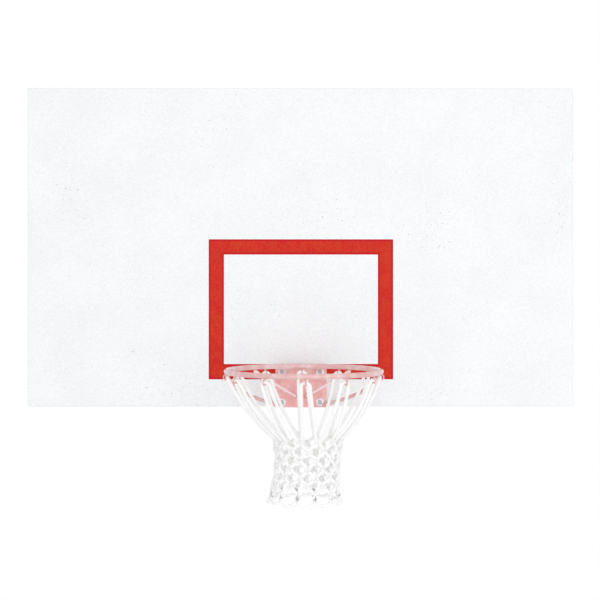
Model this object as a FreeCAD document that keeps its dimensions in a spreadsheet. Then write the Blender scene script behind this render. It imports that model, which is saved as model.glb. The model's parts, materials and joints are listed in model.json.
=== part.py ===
"""Rectangular steel playground backboard with a bolted goal and a cord net, in millimetres.

+Z is up and the face looks along -Y. The origin is the centre of the four rear mounting holes, on the
plane of the rails' rear legs, which is also the plane of the pan's return lips.
"""
import FreeCAD, Part
import math
import os
import re

import Sketcher
from FreeCAD import Placement, Rotation, Vector

os.makedirs("parts", exist_ok=True)
doc = FreeCAD.newDocument("Backboard")

SIZES = {
    # face pan, folded from one sheet
    "board_width": 1828.8,
    "board_height": 1066.8,
    "pan_depth": 38.1,
    "sheet_gauge": 2.7,
    "bend_inside": 1.5,
    "lip_width": 16.0,
    # painted target
    "target_width": 618.0,
    "target_height": 469.0,
    "target_stripe": 51.0,
    "target_film": 0.25,
    "target_rise": 91.0,
    # mounting rails, hot rolled angle
    "mount_spacing_across": 508.0,
    "mount_edge": 88.9,
    "mount_hole": 14.3,
    "rail_width": 50.8,
    "rail_gauge": 4.8,
    "rail_root": 5.0,
    "rail_toe": 2.4,
    # stiffeners, folded angle
    "brace_width": 32.0,
    "brace_gauge": 3.2,
    "brace_root": 2.0,
    "brace_clearance": 0.3,
    "upper_brace_rise": 880.0,
    "middle_brace_rise": 560.0,
    "side_upper_rise": 720.0,
    "side_lower_rise": 350.0,
    # goal backing plate
    "backing_gauge": 6.35,
    "backing_margin": 24.0,
    "backing_clearance": 0.3,
    # goal bracket and its bolts
    "plate_margin": 9.55,
    "plate_drop": 2.5,
    "plate_gauge": 4.8,
    "plate_bend": 4.0,
    "plate_corner": 10.0,
    "bolt_spacing_across": 127.0,
    "bolt_spacing_up": 101.6,
    "bolt_rise": 15.0,
    "bolt_diameter": 9.5,
    "bolt_clearance": 1.2,
    "bolt_tip": 3.0,
    "head_across": 14.3,
    "head_height": 6.2,
    "washer_diameter": 25.4,
    "washer_gauge": 1.8,
    "washer_clearance": 0.8,
    "rear_washer_diameter": 20.6,
    "lock_washer_diameter": 17.0,
    "lock_washer_gauge": 2.4,
    "lock_washer_split": 2.0,
    "nut_across": 14.3,
    "nut_height": 8.6,
    "thread_clearance": 0.1,
    # ring and its rods
    "ring_inside": 457.2,
    "ring_rod": 15.9,
    "ring_gap": 152.4,
    "shelf_clearance": 3.2,
    "rod_brace": 12.7,
    "rod_brace_angle": 7.3,
    "rod_brace_end_gap": 0.7,
    "rod_brace_end_rise": 8.0,
    "strut_rod": 9.5,
    "strut_angle": 10.0,
    "strut_end_across": 20.0,
    "strut_end_rise": 36.0,
    "weld_gap": 0.1,
    # net hooks
    "hook_count": 12,
    "hook_rod": 4.4,
    "eye_play": 1.0,
    "hook_turn": 300.0,
    # net
    "cord_diameter": 10.5,
    "cord_slack": 0.5,
    "loop_bend": 13.0,
    "net_top_drop": 206.0,
    "net_waist_drop": 287.0,
    "net_bottom_drop": 404.0,
    "net_waist_radius": 95.0,
    "net_flare_radius": 410.0,
    "row_pitch": 27.0,
    "knot_size": 21.0,
    "hole_corner": 4.5,
    "net_seam_gap": 0.3,
}

sheet = doc.addObject("Spreadsheet::Sheet", "Sizes")
for row, (alias, size) in enumerate(SIZES.items(), start=1):
    sheet.set(f"A{row}", alias)
    sheet.set(f"B{row}", str(size))
    sheet.setAlias(f"B{row}", alias)
doc.recompute()

SIZE_NAMES = re.compile(r"\b(" + "|".join(SIZES) + r")\b")

# Places that several pieces share, as formulas of the driving sizes
BOTTOM = "(-board_height / 2)"
SHEET_BACK = "(sheet_gauge - pan_depth)"
BEND_OUTSIDE = "(bend_inside + sheet_gauge)"
MOUNT_SPACING_UP = "(board_height - 2 * mount_edge)"
RAIL_INNER = "((mount_spacing_across - rail_width) / 2)"
BRACE_DEPTH = "(pan_depth - sheet_gauge - rail_gauge - rail_root - brace_clearance)"
PLATE_BACK = "(-pan_depth - target_film)"
PLATE_FRONT = f"({PLATE_BACK} - plate_gauge)"
PLATE_BOTTOM = f"({BOTTOM} - plate_drop)"
PLATE_WIDTH = "(bolt_spacing_across + washer_diameter + 2 * plate_margin)"
BACKING_BACK = f"({SHEET_BACK} + backing_gauge)"
BACKING_TOP = f"({BOTTOM} + bolt_rise + bolt_spacing_up + backing_margin)"
BOLT_LOW = f"({BOTTOM} + bolt_rise)"
BOLT_HIGH = f"({BOTTOM} + bolt_rise + bolt_spacing_up)"
BOLT_HOLE = "(bolt_diameter + bolt_clearance)"
WASHER_BORE = "(bolt_diameter + washer_clearance)"
RING_RADIUS = "((ring_inside + ring_rod) / 2)"
RING_DEPTH = "(-pan_depth - ring_gap - ring_inside / 2)"
WASHER_TOP = "(bolt_rise + bolt_spacing_up + washer_diameter / 2)"
RING_RISE = f"({WASHER_TOP} + shelf_clearance + plate_bend + ring_rod)"
RING_LEVEL = f"({BOTTOM} + {RING_RISE} - ring_rod / 2)"
SHELF_TOP = f"({RING_LEVEL} - ring_rod / 2 + plate_gauge)"
SHELF_SEAT = f"({RING_RADIUS} + sqrt(plate_gauge * (ring_rod - plate_gauge)) + weld_gap)"
BRACE_TURN = "(ceil(hook_count / 4) * 360 / hook_count - 90 + rod_brace_angle)"
BRACE_OUT = f"({RING_RADIUS} * cos({BRACE_TURN}))"
BRACE_BACK = f"({RING_RADIUS} * sin({BRACE_TURN}))"
BRACE_END = "((bolt_spacing_across + washer_diameter + rod_brace) / 2 + rod_brace_end_gap)"
STRUT_TURN = "(360 / hook_count + strut_angle)"
HOOK_EYE = "(cord_diameter + 2 * eye_play)"
EYE_LEVEL = f"({RING_LEVEL} - ring_rod / 2 - weld_gap - hook_rod - {HOOK_EYE} / 2)"
REARWARD = Rotation(Vector(1, 0, 0), -90)

# Sides of the polygons that stand for round sections, and straight runs in a thin piece's bend
ROD_SIDES = 12
DISC_SIDES = 12
THIN_SIDES = 6
BEND_RUNS = 8
pieces = []


def cells(formula):
    """The formula with each driving size named as its cell of the sheet."""
    return SIZE_NAMES.sub(r"Sizes.\1", formula)


def number(formula):
    """The formula's present value."""
    return float(sheet.evalExpression(cells(formula)))


def bind(item, prop, formula):
    """Tie one property of an object to a formula of the driving sizes."""
    item.setExpression(prop, cells(formula))


def keep(item, label):
    """Name a finished piece and put it on the list of pieces to write."""
    item.Label = label
    pieces.append(item)
    return item


def new_body(name):
    """An empty body, to be named when it is finished."""
    return doc.addObject("PartDesign::Body", name)


def new_sketch(body, role, offset="0", turn="0"):
    """A sketch on one of the body's own planes, moved along its normal and turned about its own Y axis."""
    sketch = body.newObject("Sketcher::SketchObject", "Sketch")
    plane = next(f for f in body.Origin.OriginFeatures if f.Role == role)
    sketch.AttachmentSupport = [(plane, "")]
    sketch.MapMode = "FlatFace"
    sketch.AttachmentOffset = Placement(Vector(), Rotation(Vector(0, 1, 0), number(turn)))
    bind(sketch, "AttachmentOffset.Base.z", offset)
    return sketch


def pin(sketch, geometry, point, axis, formula):
    """Hold one point of a sketch at a signed distance from the sketch's origin, along X or Y."""
    value = number(formula)
    if abs(value) < 1e-9:
        centre_line = -2 if axis == "X" else -1
        sketch.addConstraint(Sketcher.Constraint("PointOnObject", geometry, point, centre_line))
        return
    ends = (-1, 1, geometry, point) if value > 0 else (geometry, point, -1, 1)
    index = sketch.addConstraint(Sketcher.Constraint("Distance" + axis, *ends, abs(value)))
    bind(sketch, f"Constraints[{index}]", formula if value > 0 else f"-({formula})")


def outline(sketch, corners):
    """A closed outline of straight sides through corners given as pairs of formulas."""
    points = [Vector(number(x), number(y), 0) for x, y in corners]
    first = sketch.GeometryCount
    count = len(points)
    for k in range(count):
        sketch.addGeometry(Part.LineSegment(points[k], points[(k + 1) % count]))
    for k in range(count):
        sketch.addConstraint(Sketcher.Constraint("Coincident", first + k, 2, first + (k + 1) % count, 1))
    for k, (x, y) in enumerate(corners):
        pin(sketch, first + k, 1, "X", x)
        pin(sketch, first + k, 1, "Y", y)


def rectangle(sketch, left, right, low, high):
    """An upright rectangle from the formulas of its four sides."""
    outline(sketch, [(left, low), (right, low), (right, high), (left, high)])


def circle(sketch, across, up, diameter):
    """A full circle at a place given by formulas."""
    centre = Vector(number(across), number(up), 0)
    index = sketch.addGeometry(Part.Circle(centre, Vector(0, 0, 1), number(diameter) / 2))
    pin(sketch, index, 3, "X", across)
    pin(sketch, index, 3, "Y", up)
    size = sketch.addConstraint(Sketcher.Constraint("Diameter", index, number(diameter)))
    bind(sketch, f"Constraints[{size}]", diameter)


def bolt_circles(sketch, ups=(BOLT_LOW, BOLT_HIGH)):
    """The goal's bolt holes, in pairs at the given heights."""
    for up in ups:
        circle(sketch, "-bolt_spacing_across / 2", up, BOLT_HOLE)
        circle(sketch, "bolt_spacing_across / 2", up, BOLT_HOLE)


def pad(body, sketch, length, both_ways=False):
    """Add the sketch's area along its normal, or half of the length each way."""
    feature = body.newObject("PartDesign::Pad", "Pad")
    feature.Profile = sketch
    feature.SideType = "Symmetric" if both_ways else "One side"
    bind(feature, "Length", length)
    doc.recompute()
    return feature


def pocket(body, sketch, length, both_ways=False):
    """Cut the sketch's area away along its normal, or half of the length each way."""
    before = body.Shape.Volume
    feature = body.newObject("PartDesign::Pocket", "Pocket")
    feature.Profile = sketch
    feature.Reversed = True
    feature.SideType = "Symmetric" if both_ways else "One side"
    bind(feature, "Length", length)
    doc.recompute()
    if not body.Shape.Volume < before:
        raise ValueError(f"a cut in {body.Name} removes nothing")
    return feature


def fillet(body, radius, wanted):
    """Round each edge of the body whose box passes the test."""
    base = body.Tip
    names = [f"Edge{k}" for k, edge in enumerate(base.Shape.Edges, start=1) if wanted(edge.BoundBox)]
    feature = body.newObject("PartDesign::Fillet", "Fillet")
    feature.Base = (base, names)
    bind(feature, "Radius", radius)
    doc.recompute()
    return feature


def near(value, formula):
    """Whether a measured coordinate is the formula's value."""
    return abs(value - number(formula)) < 1e-4


def lies_at(depth):
    """A test for edges that lie in the plane Y = depth."""
    return lambda box: near(box.YMin, depth) and near(box.YMax, depth)


def runs_across(box):
    """Whether an edge runs straight along X."""
    return box.XLength > box.YLength + box.ZLength


def runs_back(box):
    """Whether an edge runs straight along Y."""
    return box.YLength > box.XLength + box.ZLength


def runs_up(box):
    """Whether an edge runs straight along Z."""
    return box.ZLength > box.XLength + box.YLength


def make_face_panel():
    """One sheet folded into a pan: the face, four flanges and four return lips at the rear."""
    body = new_body("FacePanel")
    half_across, half_up = "board_width / 2", "board_height / 2"
    face = new_sketch(body, "XZ_Plane")
    rectangle(face, f"-{half_across}", half_across, f"-{half_up}", half_up)
    pad(body, face, "pan_depth")
    fillet(body, BEND_OUTSIDE, lambda box: True)

    inside_across, inside_up = "(board_width / 2 - sheet_gauge)", "(board_height / 2 - sheet_gauge)"
    hollow = new_sketch(body, "XZ_Plane", "sheet_gauge")
    rectangle(hollow, f"-{inside_across}", inside_across, f"-{inside_up}", inside_up)
    pocket(body, hollow, "pan_depth - 2 * sheet_gauge")
    fillet(body, "bend_inside", lambda box: lies_at(SHEET_BACK)(box) or lies_at("-sheet_gauge")(box))

    window_across, window_up = "(board_width / 2 - lip_width)", "(board_height / 2 - lip_width)"
    window = new_sketch(body, "XZ_Plane")
    rectangle(window, f"-{window_across}", window_across, f"-{window_up}", window_up)
    pocket(body, window, "sheet_gauge")

    holes = new_sketch(body, "XZ_Plane", f"-{SHEET_BACK}")
    bolt_circles(holes)
    pocket(body, holes, "sheet_gauge")
    return keep(body, "face_panel")


def make_target():
    """The painted square on the face, as a thin film that the goal's plate lies on."""
    body = new_body("Target")
    film = new_sketch(body, "XZ_Plane", "pan_depth")
    across, low = "target_width / 2", f"({BOTTOM} + target_rise)"
    rectangle(film, f"-{across}", across, low, f"{low} + target_height")
    inner = "(target_width / 2 - target_stripe)"
    rectangle(film, f"-{inner}", inner, f"{low} + target_stripe", f"{low} + target_height - target_stripe")
    bolt_circles(film, (BOLT_HIGH,))
    pad(body, film, "target_film")
    return keep(body, "target_border")


def make_rail(label, side):
    """An upright angle, its web welded to the sheet and its rear leg drilled for two mounting bolts."""
    body = new_body("Rail")
    inner, web = f"{side} * {RAIL_INNER}", f"{side} * ({RAIL_INNER} + rail_gauge)"
    toe = f"{side} * ({RAIL_INNER} + rail_width)"
    section = new_sketch(body, "XY_Plane")
    outline(section, [
        (inner, SHEET_BACK), (web, SHEET_BACK), (web, "-rail_gauge"),
        (toe, "-rail_gauge"), (toe, "0"), (inner, "0"),
    ])
    pad(body, section, "board_height - 2 * lip_width", both_ways=True)
    on_leg = lambda box, across: runs_up(box) and near(box.XMin, across) and near(box.YMin, "-rail_gauge")
    fillet(body, "rail_root", lambda box: on_leg(box, web))
    fillet(body, "rail_toe", lambda box: on_leg(box, toe))
    holes = new_sketch(body, "XZ_Plane")
    for up in (f"-{MOUNT_SPACING_UP} / 2", f"{MOUNT_SPACING_UP} / 2"):
        circle(holes, f"{side} * mount_spacing_across / 2", up, "mount_hole")
    pocket(body, holes, "rail_gauge")
    return keep(body, label)


def make_stiffener(label, top, start, length):
    """A level angle on the sheet's back: a shelf square to the sheet and a rear leg that hangs from it."""
    body = new_body("Stiffener")
    rear, low = f"({SHEET_BACK} + {BRACE_DEPTH})", f"({top} - brace_gauge)"
    leg = f"({rear} - brace_gauge)"
    section = new_sketch(body, "YZ_Plane", start)
    outline(section, [
        (SHEET_BACK, top), (SHEET_BACK, low), (leg, low),
        (leg, f"{top} - brace_width"), (rear, f"{top} - brace_width"), (rear, top),
    ])
    pad(body, section, length)
    bend = lambda box, depth, up: runs_across(box) and near(box.YMin, depth) and near(box.ZMin, up)
    fillet(body, "brace_root", lambda box: bend(box, leg, low))
    fillet(body, "brace_root + brace_gauge", lambda box: bend(box, rear, top))
    return keep(body, label)


def make_stiffeners():
    """Three angles between the rails, and two from each rail out to the pan's side flange."""
    across = f"2 * {RAIL_INNER}"
    make_stiffener("upper_cross_brace", f"({BOTTOM} + upper_brace_rise)", f"-{RAIL_INNER}", across)
    make_stiffener("middle_cross_brace", f"({BOTTOM} + middle_brace_rise)", f"-{RAIL_INNER}", across)
    make_stiffener("lower_cross_brace", f"({BACKING_TOP} + brace_width)", f"-{RAIL_INNER}", across)
    near_end = f"({RAIL_INNER} + rail_gauge)"
    far_end = "(board_width / 2 - sheet_gauge - bend_inside)"
    reach = f"{far_end} - {near_end}"
    for level in ("upper", "lower"):
        top = f"({BOTTOM} + side_{level}_rise)"
        make_stiffener(f"{level}_left_side_brace", top, f"-{far_end}", reach)
        make_stiffener(f"{level}_right_side_brace", top, near_end, reach)


def make_backing_plate():
    """The thick plate between the rails that the goal's bolts pull against."""
    body = new_body("Backing")
    face = new_sketch(body, "XZ_Plane", f"-{BACKING_BACK}")
    low = f"{BOTTOM} + sheet_gauge + bend_inside + backing_clearance"
    rectangle(face, f"-{RAIL_INNER}", RAIL_INNER, low, BACKING_TOP)
    bolt_circles(face)
    pad(body, face, "backing_gauge")
    return keep(body, "goal_backing_plate")


def make_goal_bracket():
    """A plate bent square: an upright leg bolted to the face, and a shelf cut round to the ring."""
    body = new_body("Bracket")
    section = new_sketch(body, "YZ_Plane")
    under, reach = f"({SHELF_TOP} - plate_gauge)", RING_DEPTH
    outline(section, [
        (PLATE_BACK, PLATE_BOTTOM), (PLATE_BACK, SHELF_TOP), (reach, SHELF_TOP),
        (reach, under), (PLATE_FRONT, under), (PLATE_FRONT, PLATE_BOTTOM),
    ])
    pad(body, section, PLATE_WIDTH, both_ways=True)
    bend = lambda box, depth, up: runs_across(box) and near(box.YMin, depth) and near(box.ZMin, up)
    fillet(body, "plate_bend", lambda box: bend(box, PLATE_FRONT, under))
    fillet(body, "plate_bend + plate_gauge", lambda box: bend(box, PLATE_BACK, SHELF_TOP))
    fillet(body, "plate_corner", lambda box: runs_back(box) and near(box.ZMin, PLATE_BOTTOM))
    seat = new_sketch(body, "XY_Plane", SHELF_TOP)
    circle(seat, "0", RING_DEPTH, f"2 * {SHELF_SEAT}")
    pocket(body, seat, "4 * plate_gauge", both_ways=True)
    holes = new_sketch(body, "XZ_Plane", f"-{PLATE_BACK}")
    bolt_circles(holes)
    pocket(body, holes, "plate_gauge")
    return keep(body, "goal_bracket")


def bent_rod(name, bend, diameter, sides, turn="360"):
    """A rod bent to an arc about its own Z axis, from its own X axis on."""
    section = doc.addObject("Part::RegularPolygon", "RodSection")
    section.Polygon = sides
    section.Placement = Placement(Vector(), Rotation(Vector(1, 0, 0), 90))
    bind(section, "Circumradius", f"{diameter} / 2")
    bind(section, "Placement.Base.x", bend)
    rod = doc.addObject("Part::Revolution", name)
    rod.Source = section
    rod.Axis = Vector(0, 0, 1)
    rod.Solid = True
    bind(rod, "Angle", turn)
    return rod


def make_ring():
    """The hoop, one round rod."""
    ring = bent_rod("Ring", RING_RADIUS, "ring_rod", ROD_SIDES)
    bind(ring, "Placement.Base.y", RING_DEPTH)
    bind(ring, "Placement.Base.z", RING_LEVEL)
    return keep(ring, "ring")


def make_plate_trim():
    """The space behind the front of the goal's plate, which the rods' ends are trimmed to."""
    trim = doc.addObject("Part::Box", "PlateTrim")
    bind(trim, "Length", f"2 * {PLATE_WIDTH}")
    bind(trim, "Width", "pan_depth")
    bind(trim, "Height", "board_height")
    bind(trim, "Placement.Base.x", f"-{PLATE_WIDTH}")
    bind(trim, "Placement.Base.y", PLATE_FRONT)
    bind(trim, "Placement.Base.z", f"{BOTTOM} - board_height / 2")
    return trim


def trimmed(rod, trim, label):
    """A rod whose end is cut flush with the front of the goal's plate."""
    cut = doc.addObject("Part::Cut", "TrimmedRod")
    cut.Base = rod
    cut.Tool = trim
    return keep(cut, label)


def make_rod_brace(label, side, trim):
    """A rod bent to one arc in a sloping plane, from under the ring's side to the plate's lower corner."""
    start_level = f"({RING_LEVEL} - ring_rod / 2 - rod_brace / 2 - weld_gap)"
    run = f"(ring_gap + ring_inside / 2 - target_film - plate_gauge - {BRACE_BACK})"
    drop = f"({start_level} - {BOTTOM} - rod_brace_end_rise)"
    slope = f"sqrt({run} ^ 2 + {drop} ^ 2)"
    inward = f"({BRACE_OUT} - {BRACE_END})"
    bend = f"(({inward} ^ 2 + {slope} ^ 2) / (2 * {inward}))"
    turn = f"(asin({slope} / {bend}) + rod_brace / {bend} * 180 deg / pi)"
    rod = bent_rod("RodBrace", bend, "rod_brace", ROD_SIDES, turn)
    tilt = Rotation(Vector(1, 0, 0), -math.degrees(math.atan2(number(drop), number(run))))
    sweep = math.degrees(math.asin(number(slope) / number(bend)) + number("rod_brace") / number(bend))
    spin = Rotation(Vector(0, 0, 1), 0 if side > 0 else 180 - sweep)
    rod.Placement = Placement(Vector(), tilt.multiply(spin))
    bind(rod, "Placement.Base.x", f"{side} * ({BRACE_OUT} - {bend})")
    bind(rod, "Placement.Base.y", f"{RING_DEPTH} + {BRACE_BACK}")
    bind(rod, "Placement.Base.z", start_level)
    return trimmed(rod, trim, label)


def make_strut(label, side, trim):
    """A straight rod from under the rear of the ring to the lower middle of the plate."""
    start = [
        f"{side} * {RING_RADIUS} * sin({STRUT_TURN})",
        f"{RING_DEPTH} + {RING_RADIUS} * cos({STRUT_TURN})",
        f"{RING_LEVEL} - ring_rod / 2 - strut_rod / 2 - weld_gap",
    ]
    end = [f"{side} * strut_end_across", PLATE_FRONT, f"{BOTTOM} + strut_end_rise"]
    reach = [f"(({b}) - ({a}))" for a, b in zip(start, end)]
    rod = doc.addObject("Part::Cylinder", "Strut")
    bind(rod, "Radius", "strut_rod / 2")
    bind(rod, "Height", f"sqrt({' + '.join(f'{r} ^ 2' for r in reach)}) + strut_rod")
    along = Vector(*[number(r) for r in reach])
    rod.Placement = Placement(Vector(), Rotation(Vector(0, 0, 1), along))
    for axis, formula in zip("xyz", start):
        bind(rod, f"Placement.Base.{axis}", formula)
    return trimmed(rod, trim, label)


def group(items, label):
    """Like pieces kept together as separate solids."""
    compound = doc.addObject("Part::Compound", "Group")
    compound.Links = items
    return keep(compound, label)


def thin_piece(points, diameter, normal):
    """A cord or wire of straight runs, mitred where they meet, in a plane with the given normal."""
    along = (points[1] - points[0]).normalize()
    level = along.cross(normal)
    section = []
    for k in range(THIN_SIDES + 1):
        turn = 2 * math.pi * k / THIN_SIDES
        section.append(points[0] + (level * math.cos(turn) + normal * math.sin(turn)) * (diameter / 2))
    mitred = 1
    return Part.makePolygon(points).makePipeShell([Part.makePolygon(section)], True, False, mitred)


def round_the_ring(first, name, label):
    """Copies of a shape that stands on the ring's +X side, one at each hook, on the ring's own axis."""
    copies = []
    for k in range(int(number("hook_count"))):
        turned = first.copy()
        turned.rotate(Vector(), Vector(0, 0, 1), -90 + 360 * k / number("hook_count"))
        copies.append(turned)
    item = doc.addObject("Part::Feature", name)
    item.Shape = Part.makeCompound(copies)
    bind(item, "Placement.Base.y", RING_DEPTH)
    bind(item, "Placement.Base.z", RING_LEVEL)
    return keep(item, label)


def make_net_hooks():
    """Open eyes of bent wire under the ring, each in a plane through the ring's axis."""
    bend = number(f"({HOOK_EYE} + hook_rod) / 2")
    centre = Vector(number(RING_RADIUS), 0, number(f"{EYE_LEVEL} - {RING_LEVEL}"))
    turns = [math.radians(number("hook_turn")) * k / BEND_RUNS for k in range(BEND_RUNS + 1)]
    eye = [centre + Vector(math.sin(t), 0, math.cos(t)) * bend for t in turns]
    hook = thin_piece(eye, number("hook_rod"), Vector(0, 1, 0))
    return round_the_ring(hook, "NetHooks", "net_hooks")


def stand(item, across, depth, up):
    """Stand a primitive on a bolt's line, with its own Z axis towards the rear."""
    item.Placement = Placement(Vector(), REARWARD)
    bind(item, "Placement.Base.x", across)
    bind(item, "Placement.Base.y", depth)
    bind(item, "Placement.Base.z", up)
    return item


def prism_at(place, depth, sides, radius, height):
    """A prism on a bolt's line, from a depth towards the rear."""
    item = doc.addObject("Part::Prism", "Prism")
    item.Polygon = sides
    bind(item, "Circumradius", radius)
    bind(item, "Height", height)
    return stand(item, place[0], depth, place[1])


def disc_at(place, depth, diameter, height):
    """A round piece on a bolt's line, from a depth towards the rear."""
    return prism_at(place, depth, DISC_SIDES, f"({diameter}) / 2", height)


def hexagon_at(place, depth, across_flats, height):
    """A hexagonal prism on a bolt's line, from a depth towards the rear."""
    return prism_at(place, depth, 6, f"{across_flats} / sqrt(3)", height)


def combine(kind, base, tool):
    """A boolean of two solids."""
    result = doc.addObject(kind, "Combined")
    result.Base = base
    result.Tool = tool
    return result


def make_fasteners():
    """Four bolts through plate, sheet and backing, each with two flat washers, a lock washer and a nut."""
    places = [(f"{side} * bolt_spacing_across / 2", up) for up in (BOLT_LOW, BOLT_HIGH) for side in (-1, 1)]
    washer_front = f"({PLATE_FRONT} - washer_gauge)"
    head_front = f"({washer_front} - head_height)"
    lock_front = f"({BACKING_BACK} + washer_gauge)"
    nut_front = f"({lock_front} + lock_washer_gauge)"
    bolt_end = f"({nut_front} + nut_height + bolt_tip)"
    bolts, fronts, rears, locks, nuts = [], [], [], [], []
    for place in places:
        head = hexagon_at(place, head_front, "head_across", "head_height")
        shank = disc_at(place, washer_front, "bolt_diameter", f"{bolt_end} - {washer_front}")
        bolts.append(combine("Part::Fuse", head, shank))
        front = disc_at(place, washer_front, "washer_diameter", "washer_gauge")
        front_bore = disc_at(place, washer_front, WASHER_BORE, "washer_gauge")
        fronts.append(combine("Part::Cut", front, front_bore))
        rear = disc_at(place, BACKING_BACK, "rear_washer_diameter", "washer_gauge")
        rear_bore = disc_at(place, BACKING_BACK, WASHER_BORE, "washer_gauge")
        rears.append(combine("Part::Cut", rear, rear_bore))
        lock = disc_at(place, lock_front, "lock_washer_diameter", "lock_washer_gauge")
        lock_bore = disc_at(place, lock_front, WASHER_BORE, "lock_washer_gauge")
        split = doc.addObject("Part::Box", "Split")
        bind(split, "Length", "lock_washer_diameter")
        bind(split, "Width", "lock_washer_split")
        bind(split, "Height", "lock_washer_gauge")
        stand(split, place[0], lock_front, f"{place[1]} + lock_washer_split / 2")
        locks.append(combine("Part::Cut", combine("Part::Cut", lock, lock_bore), split))
        nut = hexagon_at(place, nut_front, "nut_across", "nut_height")
        thread = disc_at(place, nut_front, "bolt_diameter + 2 * thread_clearance", "nut_height")
        nuts.append(combine("Part::Cut", nut, thread))
    group(bolts, "goal_bolts")
    group(fronts, "front_washers")
    group(rears, "rear_washers")
    group(locks, "lock_washers")
    group(nuts, "goal_nuts")


def net_radius(drop):
    """The middle of the net's wall at a depth below the ring: one hollow arc, narrowest at the waist."""
    below = number("net_waist_drop") - drop
    flare = number("net_flare_radius")
    return number("net_waist_radius") + flare - math.sqrt(flare ** 2 - below ** 2)


def make_net_loops():
    """The net's upper loops: each cord comes up to its hook, turns through the eye and goes down again.

    A loop is flat. Across it, the two strands leave the turn as tangents and end side by side with the
    strands of the next loops, where the knotted part of the net begins.
    """
    half_step = math.pi / number("hook_count")
    cord, bend = number("cord_diameter"), number("loop_bend")
    top = Vector(number(RING_RADIUS), 0, number(EYE_LEVEL) - number(RING_LEVEL) - number("cord_slack"))
    knot_radius = net_radius(number("net_top_drop"))
    foot = Vector(knot_radius * math.cos(half_step), 0, -number("net_top_drop"))
    spread = knot_radius * math.sin(half_step) - cord / 2 - number("net_seam_gap")
    fall = (foot - top).Length
    down = (foot - top).normalize()
    sideways = Vector(0, 1, 0)
    gap = math.hypot(spread, fall - bend)
    lean = math.atan2(spread, fall - bend) + math.acos(bend / gap)
    leave = (bend * math.sin(lean), bend + bend * math.cos(lean))

    past = 1 + cord / fall
    end = (leave[0] + (spread - leave[0]) * past, leave[1] + (fall - leave[1]) * past)
    turns = [(math.pi - lean) * (2 * k / BEND_RUNS - 1) for k in range(BEND_RUNS + 1)]
    route = [(bend * math.sin(t), bend - bend * math.cos(t)) for t in turns]
    route = [(-end[0], end[1])] + route + [end]
    points = [top + sideways * across + down * below for across, below in route]
    loop = thin_piece(points, cord, down.cross(sideways))
    floor = number("net_seam_gap - net_top_drop")
    reach = 2 * number(RING_RADIUS)
    loop = loop.cut(Part.makeBox(reach, reach, reach, Vector(-reach / 2, -reach / 2, floor - reach)))
    return round_the_ring(loop, "NetLoops", "net_loops")


def mesh_opening(sketch, middle, half_across, half_up):
    """One opening of the net, a diamond with its corners cut off by the knots."""
    corner = "hole_corner"
    outline(sketch, [
        (f"-{corner}", f"{middle} - {half_up}"), (corner, f"{middle} - {half_up}"),
        (half_across, f"{middle} - {corner}"), (half_across, f"{middle} + {corner}"),
        (corner, f"{middle} + {half_up}"), (f"-{corner}", f"{middle} + {half_up}"),
        (f"-{half_across}", f"{middle} + {corner}"), (f"-{half_across}", f"{middle} - {corner}"),
    ])


def make_net_wall():
    """The net's wall before its openings: flat facets, two for each hook, in three bands down the curve."""
    sides = 2 * int(number("hook_count"))
    drops = [number(formula) for formula in (
        "net_top_drop", "net_waist_drop", "(net_waist_drop + net_bottom_drop) / 2", "net_bottom_drop",
    )]

    def ring_of_points(drop, outward):
        radius = net_radius(drop) + outward
        turns = [2 * math.pi * k / sides for k in range(sides + 1)]
        return [Vector(radius * math.cos(t), radius * math.sin(t), -drop) for t in turns]

    half = number("cord_diameter") / 2
    rings = [ring_of_points(drop, half) for drop in drops]
    rings += [ring_of_points(drop, -half) for drop in reversed(drops)]
    faces = []
    for upper, lower in zip(rings, rings[1:] + rings[:1]):
        for k in range(sides):
            facet = [upper[k], upper[k + 1], lower[k + 1], lower[k], upper[k]]
            faces.append(Part.Face(Part.makePolygon(facet)))
    shell = Part.Shell(faces)
    shell.sewShape()
    wall = doc.addObject("Part::Feature", "NetWall")
    wall.Shape = Part.Solid(shell).removeSplitter()
    return wall


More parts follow.
